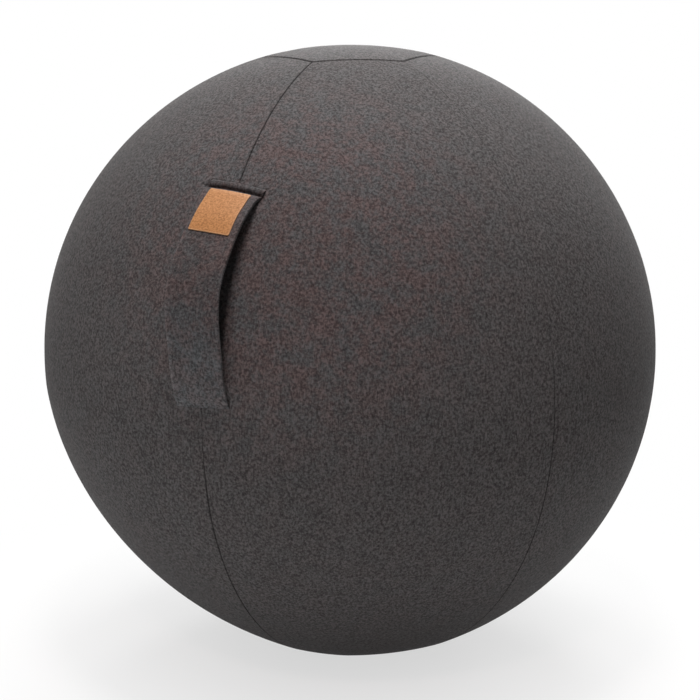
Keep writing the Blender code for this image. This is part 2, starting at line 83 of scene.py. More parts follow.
STRAP_END = radians(3.1)
STRAP_END_SKEW = radians(-3.2)
LABEL_W = 0.043
LABEL_L = 0.052
LABEL_T = 0.0012
LABEL_FROM_CREASE = 0.0085
LABEL_SKEW = radians(-2.4)
SLOT_TOP = radians(8)
SLOT_L = 0.325
SLOT_HALF = 0.0070
SLOT_TAPER = 0.017
TAPE_T = 0.0006
TAPE_EDGE = 0.013
SPINE_OUT = 0.0032
CHAIN_R = 0.321048

GORE_SPAN = pi / 3
CENTRE = Vector((0, 0, sqrt(BALL_R**2 - FOOT_R**2)))
FOOT_ANGLE = asin(FOOT_R / BALL_R)
CAP_ANGLE = CAP_R / BALL_R
SLOT_BOTTOM = SLOT_TOP - SLOT_L / CHAIN_R
TAPER_ANGLE = SLOT_TAPER / CHAIN_R

# Forms that the looks add
GORE_FLAT = 0.0021  # gores and crown are cut flat, and bulge this much less than a ball
CROWN_FLAT = 0.0017
ZIP_HOLDS = 0.060  # the zip holds its seam round this far to its sides, and less up to twice as far
SLACK_ROUNDS = 0.8  # share of the flatness that goes where the cover is slackest
SEAM_ROLL = 0.0009  # the felt turns in along a seam with this radius,
CAP_ROLL = 0.0023  # along the caps with this one,
FRONT_ROLL_TOP = 0.0012  # along the front seam with this one above the strap,
FRONT_ROLL = (0.0010, 0.0004)  # with these, loose and drawn tight, below it,
RIGHT_ROLL = (0.0008, 0.0003)  # and along the seam to its right with these
FRONT_TIGHT = 0.65  # share by which the front seam is tight at the strap's low end,
FRONT_TIGHT_AT = (radians(-12), 0.0)  # latitudes between which it tightens,
RIGHT_TIGHT_AT = (radians(-5), radians(30))  # and those of the seam to its right
TIGHT_HIDES = 0.0011  # a tight seam gets as little painted seam shade as felt this far from another seam
SEAM_GAP = 0.00008
CREASE_SUNK = 0.0030  # how far sewing presses the strap into the cover: at its crease,
TAB_SUNK = 0.0011  # at the tab above the crease,
TUCK = 0.0005  # whose edge is tucked in further,
END_SUNK = 0.0018  # and at the strap's low end
CREASE_ABOVE = 0.0065  # lengths over which the pressing fades: above the crease,
CREASE_BELOW = 0.012  # below it,
END_ABOVE = 0.014  # and above the low end
TUCK_FROM = 0.005  # the tuck starts this far above the crease,
TUCK_L = 0.004  # and is full after this length
DENT_FADE = 0.0015  # the cover comes up again beside the strap over this width,
PULL_FADE = 0.0025  # and over this much more to the left of the crease, where the strap pulls on it
PULL_L = 0.005  # this pull fades along the strap over this length
DENT_INSET = 0.0004  # the dent stops this far inside the strap's edges,
CREASE_WIDER = 0.0016  # but reaches this much further out at the crease
CREASE_L = 0.004  # which fades along the strap over this length
TAB_RISE = (-0.0028, -0.0006)  # the cover comes up again between these lengths past the tab's edge,
END_RISE = (-0.0001, 0.0002)  # and between these past the low end
DENT_FELT = 0.0010  # felt that is left under the dent
TAB_EDGE_KEEPS = 0.14  # share of its thickness that the strap keeps at the tab's edge,
TAB_KEEPS = 0.70  # on the tab,
END_KEEPS = 0.50  # and at the low end
CREASE_LOSES = 0.62  # and share of what is left that it loses in the crease
SWAY = 0.00035  # the strap's edges waver by this much
STRAP_LEAN = 0.0011  # the strap's top lies this far to the left of the seam,
TAB_LEAN = 0.36  # the tab above its crease leans to the right,
FLARE = 0.0048  # and its left edge is drawn out at the crease,
FLARE_L = 0.050  # less and less over this length
LABEL_OFF = 0.0013  # the label lies this far to the left of the strap's middle
TAPE_MEETS = 0.006  # the tapes meet again this far above the top stops
THREAD_R = 0.00032
STITCH_INSET = 0.0045
STITCH_PITCH = 0.0042
STITCH_L = 0.0034
STITCH_RISE = 0.0003
CREASE_DIMPLE = 0.0018  # the bladder gives way by this much under the strap's crease,
DIMPLE_R = 0.040  # less and less over this distance
MOULD_RING = 0.022  # pitch of its moulded rings,
MOULD_DEPTH = 0.0003  # and half their depth
VALVE_FLAT = 0.013  # it is flat this far round its valve,
VALVE_BLEND = 0.014  # and comes up to its round form over this distance
FURROW_HALF = radians(15)  # the furrow under the zip reaches this far to its sides


def towards(azimuth, latitude):
    """Unit vector at an azimuth and a latitude."""
    return Vector((sin(azimuth) * cos(latitude), -cos(azimuth) * cos(latitude), sin(latitude)))


def ease(value):
    """Smooth step from 0 to 1."""
    value = min(max(value, 0.0), 1.0)
    return value * value * (3 - 2 * value)


def rise(value, start, stop):
    """Smooth step from 0 at the start to 1 at the stop."""
    return ease((value - start) / (stop - start))


def slack(direction):
    """How far the loose cover stays inside a true ball, at the lower left."""
    away = direction.angle(towards(SLACK_AZIMUTH, SLACK_LATITUDE)) * BALL_R
    if away >= SLACK_REACH:
        return 0.0
    return SLACK_DEPTH * cos(0.5 * pi * away / SLACK_REACH) ** SLACK_FALL


def cap_edge(azimuth):
    """Latitude of the caps' straight edges, whose corners lie on the seams."""
    off = azimuth % GORE_SPAN - GORE_SPAN / 2
    return pi / 2 - atan(tan(CAP_ANGLE) * cos(GORE_SPAN / 2) / cos(off))


def flatness(direction):
    """How far gores and crown fall short of a true ball between their seams.

    The zip holds its seam round, and where the cover is slack nothing pulls it flat.
    """
    latitude = asin(direction.z)
    azimuth = atan2(direction.x, -direction.y) % (2 * pi)
    edge = cap_edge(azimuth)
    off = 2 * (azimuth % GORE_SPAN) / GORE_SPAN - 1
    across = GORE_FLAT * sqrt(cos(min(abs(latitude), edge))) * (1 - off * off)
    across *= ease((abs(azimuth - pi) * BALL_R * cos(latitude) - ZIP_HOLDS) / ZIP_HOLDS)
    across *= 1 - SLACK_ROUNDS * slack(direction) / SLACK_DEPTH
    if abs(latitude) < edge:
        return across
    middle = FOOT_ANGLE if latitude < 0 else 0.0
    share = max(pi / 2 - abs(latitude) - middle, 0.0) / (pi / 2 - edge - middle)
    crown = CROWN_FLAT * (1 - share**2) if latitude > 0 else 0.0
    return across * share**2 + crown


def skin(direction, depth):
    """Point at a depth under the cover's outside. The foot is flat."""
    down = -direction.z
    if down > cos(FOOT_ANGLE):
        return CENTRE + direction * ((CENTRE.z - depth * cos(FOOT_ANGLE)) / down)
    return CENTRE + direction * (BALL_R - slack(direction) - flatness(direction) - depth)


def tight(seam, latitude):
    """Share by which a seam is drawn tight, and hardly shows.

    Seam 0, which carries the strap, is tight just below it, and seam 1, to its right, most at its top.
    """
    if seam == 0 and latitude < STRAP_TOP:
        return FRONT_TIGHT * rise(latitude, *FRONT_TIGHT_AT)
    if seam == 1:
        return rise(latitude, *RIGHT_TIGHT_AT)
    return 0.0


def seam_roll(seam, latitude):
    """Radius with which the felt turns in along a seam."""
    if seam > 1:
        return SEAM_ROLL
    if seam == 0 and latitude > STRAP_TOP:
        return FRONT_ROLL_TOP
    loose, drawn = (FRONT_ROLL, RIGHT_ROLL)[seam]
    return loose + (drawn - loose) * tight(seam, latitude)


def roll(distance, radius):
    """Depth of the felt's surface near an edge that is turned in."""
    if distance >= radius:
        return 0.0
    return radius - sqrt(radius**2 - (radius - max(distance, 0.0)) ** 2)


def strap_ends(x):
    """Latitudes of the strap's crease and low end, which are sewn on askew, at a place across it."""
    return STRAP_TOP - x * tan(STRAP_TOP_SKEW) / BALL_R, STRAP_END - x * tan(STRAP_END_SKEW) / BALL_R


def aside(x, below, share):
    """Sideways offset of the strap's felt, at a length below its crease and a share of the way up."""
    offset = -STRAP_LEAN * share + TAB_LEAN * max(-below, 0.0)
    if x < 0:
        offset -= FLARE * (2 * x / STRAP_W) ** 2 * (1 - ease(below / FLARE_L))
    return offset


def sunk(below, above):
    """How far sewing presses the strap in, at a length below its crease and above its low end."""
    if below < 0:
        top = TAB_SUNK + (CREASE_SUNK - TAB_SUNK) * (1 - ease(-below / CREASE_ABOVE))
        top += TUCK * ease((-below - TUCK_FROM) / TUCK_L)
    else:
        top = CREASE_SUNK * (1 - ease(below / CREASE_BELOW))
    return max(top, END_SUNK * (1 - ease(above / END_ABOVE)))


def dent(azimuth, latitude):
    """Depth of the cover under the strap's ends."""
    if azimuth > pi:
        azimuth -= 2 * pi
    place = azimuth * BALL_R * cos(latitude)
    x = place
    for _ in range(4):
        top, end = strap_ends(x)
        below = (top - latitude) * BALL_R
        x = place - aside(x, below, (latitude - end) / (top - end))
    over, past = (latitude - top) * BALL_R - STRAP_TAB, (end - latitude) * BALL_R
    fade = DENT_FADE
    if x < 0:
        fade += PULL_FADE * exp(-(below / PULL_L) ** 2)
    reach = STRAP_W / 2 - DENT_INSET + CREASE_WIDER * exp(-(below / CREASE_L) ** 2)
    depth = sunk(below, max(-past, 0.0)) * (1 - ease((abs(x) - reach) / fade))
    return depth * (1 - rise(over, *TAB_RISE)) * (1 - rise(past, *END_RISE))


def edge_steps(extra=()):
    """Distances from a sewn edge, close together where the felt turns in."""
    turn = [0.0, 0.00006, 0.00018, 0.00035, 0.0006, 0.0009, 0.0012, 0.0017, CAP_ROLL]
    return turn + [0.0030, 0.0040, 0.0055, 0.008, 0.012] + list(extra)


def mesh_object(name, bm):
    bmesh.ops.recalc_face_normals(bm, faces=bm.faces[:])
    mesh = bpy.data.meshes.new(name)
    bm.to_mesh(mesh)
    bm.free()
    mesh.shade_smooth()
    mesh.set_sharp_from_angle(angle=radians(50))
    obj = bpy.data.objects.new(name, mesh)
    bpy.context.scene.collection.objects.link(obj)
    return obj


def quads(bm, rows, wrap=False):
    """Faces between neighbouring rows of vertices."""
    for upper, lower in zip(rows, rows[1:]):
        for i in range(len(upper) if wrap else len(upper) - 1):
            j = (i + 1) % len(upper)
            bm.faces.new((upper[i], lower[i], lower[j], upper[j]))


def new_layers(bm):
    return bm.verts.layers.float.new("edge"), bm.verts.layers.float.new("along")


def add_rows(bm, grid, layers):
    """Vertices of a grid of (point, distance from the sewn edge, length along it)."""
    rows = []
    for line in grid:
        row = []
        for point, edge, along in line:
            vert = bm.verts.new(point)
            vert[layers[0]] = edge
            vert[layers[1]] = along
            row.append(vert)
        rows.append(row)
    return rows


def slab(name, outer, inner):
    """Closed sheet between two grids."""
    bm = bmesh.new()
    layers = new_layers(bm)
    over, under = add_rows(bm, outer, layers), add_rows(bm, inner, layers)
    quads(bm, [a + b[::-1] for a, b in zip(over, under)], wrap=True)
    for a, b in ((over[0], under[0]), (over[-1], under[-1])):
        quads(bm, [a, b])
    return mesh_object(name, bm)


# Cover: gores and caps

def slot_inset(latitude):
    """Half the opening between the two rear gores."""
    if latitude > SLOT_TOP:
        share = 1 - (latitude - SLOT_TOP) / TAPER_ANGLE
    else:
        share = 1 - (SLOT_BOTTOM - latitude) / TAPER_ANGLE
    return SEAM_GAP + (SLOT_HALF - SEAM_GAP) * ease(share)


def gore_rows(front, rear):
    """Latitudes of a gore's rows on a seam, from cap to cap."""
    corner = cap_edge(0.0)
    ends = [corner - step / BALL_R for step in edge_steps()]
    rows = ends + [-row for row in ends]
    spans = [(ends[-1], -ends[-1], 0.0080)]
    if front:
        tab = STRAP_TOP + STRAP_TAB / BALL_R
        spans.append((tab + 0.002 / BALL_R, STRAP_TOP - 0.014 / BALL_R, 0.0008))
        spans.append((STRAP_END + 0.016 / BALL_R, STRAP_END + 0.0006 / BALL_R, 0.0015))
        close = (-0.0003, -0.0001, 0.0001, 0.0002, 0.0005, 0.0012, 0.003)
        rows += [STRAP_END - step / BALL_R for step in close]
    if rear:
        for end, way in ((SLOT_TOP, 1), (SLOT_BOTTOM, -1)):
            spans.append((end + way * TAPER_ANGLE, end, 0.0017))
    for upper, lower, step in spans:
        count = ceil(abs(upper - lower) * BALL_R / step)
        rows += [upper + (lower - upper) * i / count for i in range(1, count)]
    rows = sorted(set(rows), reverse=True)
    return [row for i, row in enumerate(rows) if i == 0 or rows[i - 1] - row > 0.00012 / BALL_R]


def askew(row, azimuth):
    """Rows near the strap's ends turn to run along them."""
    if azimuth > pi:
        azimuth -= 2 * pi
    x = azimuth * BALL_R * cos(row)
    x *= 1 - ease((abs(x) - STRAP_W / 2 - 0.003) / 0.050)
    shift = 0.0
    for end, rest in zip(strap_ends(x), strap_ends(0.0)):
        away = max(abs(row - rest) * BALL_R - 0.014, 0.0)
        shift += (end - rest) * (1 - ease(away / 0.045))
    return shift


def row_latitude(row, azimuth):
    """Rows near the caps bend to meet their straight edges."""
    corner, edge, calm = cap_edge(0.0), cap_edge(azimuth), radians(46)
    if abs(row) <= calm:
        return row
    bent = calm + (abs(row) - calm) * (edge - calm) / (corner - calm)
    return bent if row > 0 else -bent


def make_gore(name, index):
    """One gore between two seams. Gore 0 lies to the right of the front seam, gore 5 to its left."""
    left, right = index * GORE_SPAN, (index + 1) * GORE_SPAN
    beside_strap = [0.0155, 0.019, 0.0225] + [0.0245 + 0.0005 * i for i in range(24)] + [0.0385, 0.042]
    from_left = edge_steps(beside_strap if index == 0 else ())
    from_right = edge_steps(beside_strap if index == 5 else ())
    rows = gore_rows(index in (0, 5), index in (2, 3))
    middle = 20
    outer, inner = [], []
    for row in rows:
        reach = BALL_R * cos(row)
        start = left + (slot_inset(row) if index == 3 else SEAM_GAP) / reach
        stop = right - (slot_inset(row) if index == 2 else SEAM_GAP) / reach
        width = (stop - start) * reach
        steps = list(from_left)
        room = width - from_right[-1] - from_left[-1]
        steps += [from_left[-1] + room * i / middle for i in range(1, middle)]
        steps += [width - step for step in reversed(from_right)]
        over, under = [], []
        for step in steps:
            azimuth = start + step / reach
            latitude = row_latitude(row, azimuth)
            if index in (0, 5):
                latitude += askew(row, azimuth)
            ends = min(cap_edge(azimuth) - latitude, cap_edge(azimuth) + latitude) * BALL_R
            sides = min(step, width - step)
            seam = index if step < width / 2 else (index + 1) % 6
            turn = seam_roll(seam, latitude)
            depth = max(roll(ends, CAP_ROLL), roll(sides, turn))
            pressed = dent(azimuth, latitude) if index in (0, 5) else 0.0
            direction = towards(azimuth, latitude)
            hidden = TIGHT_HIDES * tight(seam, latitude)
            edge = min(ends * SEAM_ROLL / CAP_ROLL, sides * SEAM_ROLL / turn + hidden)
            along = latitude * BALL_R if sides < ends else azimuth * reach
            depth = max(depth, pressed)
            over.append((skin(direction, depth), edge, along))
            under.append((skin(direction, max(COVER_T, pressed + DENT_FELT)), edge, along))
        outer.append(over)
        inner.append(under)
    return slab(name, outer, inner)


def make_cap(name, up, first_ring):
    """Hexagon cap round a pole: up is 1 for the crown and -1 for the foot."""
    bm = bmesh.new()
    layers = new_layers(bm)
    count = 6 * 20
    steps = edge_steps()
    outer, inner = [], []
    rings = len(steps) + 8
    for ring in range(rings):
        over, under = [], []
        for i in range(count):
            azimuth = 2 * pi * i / count
            limit = pi / 2 - cap_edge(azimuth) - SEAM_GAP / BALL_R
            off = azimuth % GORE_SPAN - GORE_SPAN / 2
            lean = cos(off)  # distances are square to the straight edge
            if ring < len(steps):
                from_pole = limit - steps[ring] / lean / BALL_R
            else:
                last = limit - steps[-1] / lean / BALL_R
                share = (ring - len(steps) + 1) / 9
                from_pole = last + (first_ring - last) * share
            edge = (limit - from_pole) * lean * BALL_R
            direction = towards(azimuth, up * (pi / 2 - from_pole))
            along = tan(off) * BALL_R * limit
            mark = edge * SEAM_ROLL / CAP_ROLL
            over.append((skin(direction, roll(edge, CAP_ROLL)), mark, along))
            under.append((skin(direction, COVER_T), mark, along))
        outer.append(over)
        inner.append(under)
    over, under = add_rows(bm, outer, layers), add_rows(bm, inner, layers)
    quads(bm, over[::-1] + under, wrap=True)
    for rows, depth in ((over, 0.0), (under, COVER_T)):
        pole = bm.verts.new(skin(Vector((0, 0, up)), depth))
        pole[layers[0]] = CAP_R
        for i, vert in enumerate(rows[-1]):
            bm.faces.new((pole, vert, rows[-1][(i + 1) % count]))
    return mesh_object(name, bm)


def make_bladder():
    """Smooth inflated shell with moulded rings round its valve.

    It is pressed in under the zip and the strap's top.
    """
    seat, plug = [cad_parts[name] for name in ("valve_seat", "valve_plug")]
    spots = [[thing.matrix_world @ vert.co for vert in thing.data.vertices] for thing in (seat, plug)]
    middles = [sum(points, Vector()) / len(points) for points in spots]
    axis = (middles[1] - middles[0]).normalized()
    if axis.dot(middles[0] - CENTRE) < 0:
        axis = -axis
    top = max((point - middles[0]).dot(axis) for point in spots[0])
    foot = middles[0] + axis * (top - VALVE_FLANGE_T - CLEAR)
    pole = (foot - CENTRE).normalized()
    side = pole.orthogonal().normalized()
    other = pole.cross(side)
    count, rings = 96, 120

    def place(ring, i, depth):
        first = VALVE_HOLE_R / (foot - CENTRE).length
        angle = first + (pi - first) * ring / rings
        turn = 2 * pi * i / count
        direction = pole * cos(angle) + (side * cos(turn) + other * sin(turn)) * sin(angle)
        latitude = asin(direction.z)
        aside_zip = abs(atan2(direction.x, -direction.y) % (2 * pi) - pi)
        past = max(latitude - SLOT_TOP - TAPER_ANGLE, SLOT_BOTTOM - TAPER_ANGLE - latitude, 0.0) * BALL_R
        deeper = FURROW * ease(1 - aside_zip / FURROW_HALF) * (1 - rise(past, 0.012, 0.042))
        crease = direction.angle(towards(0.0, STRAP_TOP)) * BALL_R
        deeper += CREASE_DIMPLE * exp(-(crease / DIMPLE_R) ** 2)
        out = angle * BALL_R
        deeper += MOULD_DEPTH * (1 + sin(out * 2 * pi / MOULD_RING)) * rise(out, 0.03, 0.05)
        point = skin(direction, BLADDER_DEPTH + deeper + depth)
        flat = CENTRE + direction * ((foot - CENTRE).dot(axis) / direction.dot(axis)) - axis * depth
        return flat.lerp(point, ease((out - VALVE_FLAT) / VALVE_BLEND)) if angle < 0.2 else point

    bm = bmesh.new()
    walls = []
    for depth in (0.0, BLADDER_T):
        walls.append([[bm.verts.new(place(ring, i, depth)) for i in range(count)] for ring in range(rings)])
        quads(bm, walls[-1], wrap=True)
        end = bm.verts.new(place(rings, 0, depth))
        for i, vert in enumerate(walls[-1][-1]):
            bm.faces.new((end, vert, walls[-1][-1][(i + 1) % count]))
    quads(bm, [walls[0][0], walls[1][0]], wrap=True)
    return mesh_object("inflated_bladder", bm)


# Strap and label

def seam_point(latitude, standoff):
    """Place in the plane of the front seam, as (outward, up) from the ball's centre."""
    reach = BALL_R + standoff
    return Vector((reach * cos(latitude), reach * sin(latitude)))


def smooth_curve(knots, steps):
    """Points along a curve that passes through the knots."""
    ends = [2 * knots[0] - knots[1]] + knots + [2 * knots[-1] - knots[-2]]
    points = []
    for before, a, b, after in zip(ends, ends[1:], ends[2:], ends[3:]):
        span = (b - a).length
        leave = (b - before) / (span + (a - before).length) * span / 3
        arrive = (after - a) / (span + (after - b).length) * span / 3
        points += interpolate_bezier(a, a + leave, b - arrive, b, steps + 1)[:-1]
    return points + [knots[-1]]


def runs_of(line):
    """Length along a line at each of its points."""
    runs = [0.0]
    for a, b in zip(line, line[1:]):
        runs.append(runs[-1] + (b - a).length)
    return runs


def strap_column(x):
    """Underside of the strap at a place across it: lengths along it, points in the seam's plane, outward."""
    top, end = strap_ends(x)
    tab = [seam_point(top + (1 - i / 14) * STRAP_TAB / BALL_R, CLEAR) for i in range(14)]
    knots = [seam_point(*knot) for knot in (STRAP_BEND, STRAP_CREST, STRAP_LOW, STRAP_LANDING)]
    line = tab + smooth_curve([seam_point(top, CLEAR)] + knots + [seam_point(end, CLEAR)], 34)
    runs = runs_of(line)
    pressed = []
    for run, point in zip(runs, line):
        away = max(point.length, BALL_R + CLEAR) - sunk(run - STRAP_TAB, runs[-1] - run)
        pressed.append(point.normalized() * (away + CLEAR))
    outward = []
    for i in range(len(pressed)):
        way = pressed[min(i + 1, len(pressed) - 1)] - pressed[max(i - 1, 0)]
        outward.append(Vector((-way.y, way.x)).normalized())
    return runs_of(pressed), pressed, outward


def keeps(run, length):
    """Share of its thickness that the strap keeps, pressed flat at its sewn ends."""
    tab = TAB_EDGE_KEEPS + (TAB_KEEPS - TAB_EDGE_KEEPS) * ease(run / 0.0055)
    tab += (1 - tab) * ease((run - STRAP_TAB) / 0.006)
    off = (run - STRAP_TAB) / (0.0022 if run < STRAP_TAB else 0.0025)
    end = END_KEEPS + (1 - END_KEEPS) * ease((length - run) / 0.012)
    return min(tab * (1 - CREASE_LOSES * exp(-off * off)), end)


def strip_columns(width, thickness):
    """Places across a strip, and how much of its thickness has gone there at its rounded edges."""
    radius = thickness / 2
    half = width / 2
    turn = [(half - radius + radius * sin(radians(a)), 1 - cos(radians(a))) for a in (0, 25, 50, 70, 83)]
    flat = [(half - radius) * (i / 6 - 1) for i in range(1, 12)]
    flat = [x for x in flat if abs(x) < half - 2 * radius]
    return [(-x, drop) for x, drop in reversed(turn)] + [(x, 0.0) for x in flat] + turn


def strip(name, width, low, high, part=None, corner=0.0):
    """Closed strip between two heights above the strap's underside. A part is a stretch of its length."""
    sheets = ([], [])
    thickness = high - low
    for x, drop in strip_columns(width, thickness):
        runs, line, outward = strap_column(x)
        length = runs[-1]
        marks = part(x) if part else runs
        columns = ([], [])
        place = 0
        for mark in marks:
            while place < len(runs) - 2 and runs[place + 1] < mark:
                place += 1
            share = (mark - runs[place]) / (runs[place + 1] - runs[place])
            point = line[place].lerp(line[place + 1], share)
            out = outward[place].lerp(outward[place + 1], share).normalized()
            keep = keeps(mark, length)
            from_end = min(mark - marks[0], marks[-1] - mark)
            narrow = 1 - roll(from_end, corner) / (width / 2) if corner else 1.0
            sway = SWAY * noise.noise(Vector((mark * 45, 7.3, width * 90)))
            across = x * narrow + sway
            if part:
                across -= LABEL_OFF + STRAP_LEAN * (1 - mark / length)
            else:
                across += aside(x, mark - STRAP_TAB, 1 - mark / length)
            for column, height in zip(columns, (high, low)):
                level = low + (height - low) * (1 - drop) + thickness / 2 * drop
                spot = point + out * level * keep
                hold = max(0.0, 1 - max(spot.length - BALL_R, 0.0) / STRAP_CREST[1])
                latitude = atan2(spot.y, spot.x)
                drop_off = BALL_R - sqrt(BALL_R**2 - across**2)
                drop_off += flatness(towards(across / (BALL_R * cos(latitude)), latitude))
                spot = spot - hold * drop_off * spot.normalized()
                side = min(width / 2 - abs(x), from_end)
                column.append((CENTRE + Vector((across, -spot.x, spot.y)), side, mark))
        for sheet, column in zip(sheets, columns):
            sheet.append(column)
    return slab(name, *[list(zip(*sheet)) for sheet in sheets])


def label_part(x):
    """Lengths along the strap that the label covers, at a place across it."""
    start = STRAP_TAB + LABEL_FROM_CREASE + x * tan(LABEL_SKEW)
    return [start + LABEL_L * i / 52 for i in range(53)]


def make_strap():
    """Webbing, felt face and label, one on the other."""
    lining = strip("strap_lining", STRAP_W - 0.001, 0.0, LINING_T)
    low = LINING_T + CLEAR
    face = strip("strap_face", STRAP_W, low, low + FACE_T)
    low += FACE_T + CLEAR * 0.4
    label = strip("label", LABEL_W, low, low + LABEL_T, label_part, 0.0005)
    return lining, face, label


# Zip

def zip_point(x, height, run):
    """Place on the zip: sideways, above the chain's middle, and down from the top of the slot."""
    latitude = SLOT_TOP - run / CHAIN_R
    reach = CHAIN_R + height
    return CENTRE + Vector((x, reach * cos(latitude), reach * sin(latitude)))


def make_tape(name, side):
    """One woven tape. Past the top stops and past the bottom stop the two tapes meet."""
    stop_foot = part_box("zip_bottom_stop")[0][2]
    stop_run = (SLOT_TOP - asin((stop_foot - CENTRE.z) / CHAIN_R)) * CHAIN_R + CLEAR
    stop_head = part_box("zip_top_stop_left")[1][2]
    open_run = (SLOT_TOP - asin((stop_head - CENTRE.z) / CHAIN_R)) * CHAIN_R - TAPE_MEETS
    outer, inner = [], []
    count = 190
    length = SLOT_L + 2 * SLOT_TAPER
    for i in range(count + 1):
        run = -SLOT_TAPER + length * i / count
        share = min(ease((run - open_run) / SPINE_OUT), ease((stop_run + SPINE_OUT - run) / SPINE_OUT))
        edge = CLEAR / 2 + SPINE_OUT * share + CLEAR / 2 * share
        over, under = [], []
        for j in range(9):
            x = edge + (TAPE_EDGE - edge) * j / 8
            over.append((zip_point(side * x, TAPE_T / 2, run), x, run))
            under.append((zip_point(side * x, -TAPE_T / 2, run), x, run))
        outer.append(over)
        inner.append(under)
    return slab(name, outer, inner)


def stitches(name, lines):
    """Thread along lines of (point, outward normal): one arched stitch for each pitch."""
    bm = bmesh.new()
    for line in lines:
        runs = [0.0]
        for (a, _), (b, _) in zip(line, line[1:]):
            runs.append(runs[-1] + (b - a).length)
        number = int(runs[-1] / STITCH_PITCH)
        for n in range(number):
            rings = []
            for k in range(7):
                at = (n + 0.5) * STITCH_PITCH + (k / 6 - 0.5) * STITCH_L
                i = max(j for j in range(len(runs) - 1) if runs[j] <= max(at, 0.0))
                share = (at - runs[i]) / (runs[i + 1] - runs[i])
                point = line[i][0].lerp(line[i + 1][0], share)
                out = line[i][1].lerp(line[i + 1][1], share).normalized()
                along = (line[i + 1][0] - line[i][0]).normalized()
                beside = along.cross(out)
                lift = STITCH_RISE * cos((k / 6 - 0.5) * pi) - 0.4 * THREAD_R
                radius = THREAD_R * (0.45 if k in (0, 6) else 1.0)
                ring = []
                for m in range(6):
                    turn = 2 * pi * m / 6
                    offset = out * (lift + radius * sin(turn)) + beside * radius * cos(turn)
                    ring.append(bm.verts.new(point + offset))
                rings.append(ring)
            quads(bm, rings, wrap=True)
            bm.faces.new(rings[0])
            bm.faces.new(rings[-1][::-1])
    return mesh_object(name, bm)


def slot_stitching():
    """Two lines of stitches on the felt, beside the zip."""
    lines = []
    for side in (-1, 1):
        line = []
        for i in range(121):
            latitude = SLOT_TOP + TAPER_ANGLE * 0.6 + (SLOT_BOTTOM - SLOT_TOP - 1.2 * TAPER_ANGLE) * i / 120
            inset = slot_inset(latitude) + STITCH_INSET
            direction = towards(pi - side * inset / (BALL_R * cos(latitude)), latitude)
            line.append((skin(direction, 0.0), direction))
        lines.append(line)
    return stitches("zip_stitching", lines)


# Materials

FELT_DARK = (0.0264, 0.0256, 0.0257, 1)
FELT_PALE = (0.1109, 0.1104, 0.1111, 1)
TINT_WARM = (1.215, 0.950, 0.930, 1)
TINT_COOL = (0.955, 1.000, 1.025, 1)
PAINTED_WARM_LIGHT_SPOT = tuple(CENTRE + BALL_R * towards(radians(14), radians(30)))  # the tint, a painted warm cast of light, is strongest here
STRAP_TOP_TINT = (1.03, 0.99, 0.985, 1)  # what the strap's felt is tinted by at its top,
STRAP_LOW_TINT = (0.945, 1.014, 1.04, 1)  # and at its low end
STRAP_PAINTED_SHADE = 0.38  # share of its brightness that the felt keeps under the strap, as painted shade
LEATHER_DARK = (0.189, 0.079, 0.0228, 1)
LEATHER_PALE = (0.391, 0.184, 0.064, 1)
LEATHER_CLOUD = (0.358, 0.156, 0.051, 1)
LEATHER_EDGE = (0.46, 0.27, 0.145, 1)


def node(tree, kind, inputs=None, **settings):
    """New shader node, whose inputs take values or sockets."""
    made = tree.nodes.new(kind)
    for key, value in settings.items():
        setattr(made, key, value)
    for key, value in (inputs or {}).items():
        if isinstance(value, bpy.types.NodeSocket):
            tree.links.new(value, made.inputs[key])
        else:
            made.inputs[key].default_value = value
    return made


def new_material(name, roughness, **constants):
    material = bpy.data.materials.new(name)
    material.use_nodes = True
    tree = material.node_tree
    shader = tree.nodes["Principled BSDF"]
    shader.inputs["Roughness"].default_value = roughness
    for key, value in constants.items():
        shader.inputs[key.replace("_", " ")].default_value = value
    return material, tree, shader


def math(tree, operation, a, b=0.0):
    return node(tree, "ShaderNodeMath", {0: a, 1: b}, operation=operation).outputs[0]


def mix(tree, share, a, b, blend="MIX"):
    made = node(tree, "ShaderNodeMix", data_type="RGBA", blend_type=blend)
    for key, value in ((0, share), (6, a), (7, b)):
        if isinstance(value, bpy.types.NodeSocket):
            tree.links.new(value, made.inputs[key])
        else:
            made.inputs[key].default_value = value
    return made.outputs[2]


def spread(tree, value, low, high, to_low=0.0, to_high=1.0):
    return node(tree, "ShaderNodeMapRange", {0: value, 1: low, 2: high, 3: to_low, 4: to_high},
                interpolation_type="SMOOTHSTEP").outputs[0]


def grain(tree, coords, scale, detail=2.0, rough=0.55, stretch=None, turn=(0, 0, 0)):
    """Noise, drawn out along one axis for fibres."""
    if stretch:
        drawn = {"Vector": coords, "Scale": stretch, "Rotation": turn}
        coords = node(tree, "ShaderNodeMapping", drawn).outputs[0]
    inputs = {"Vector": coords, "Scale": scale, "Detail": detail, "Roughness": rough}
    return node(tree, "ShaderNodeTexNoise", inputs).outputs[0]


def attribute(tree, name):
    return node(tree, "ShaderNodeAttribute", attribute_name=name).outputs["Fac"]


def object_coords(tree):
    return node(tree, "ShaderNodeTexCoord").outputs["Object"]


def felt_grain(tree, coords):
    """Flecks, and fibres that run three ways."""
    fibres = []
    for turn in (0.4, 1.5, 2.6):
        fibres.append(grain(tree, coords, 900.0, 2.0, 0.6, (1.0, 1.0, 0.16), (turn, 0.7 * turn, 0.3)))
    woven = math(tree, "MAXIMUM", math(tree, "MAXIMUM", fibres[0], fibres[1]), fibres[2])
    return grain(tree, coords, 400.0, 3.0, 0.68), woven


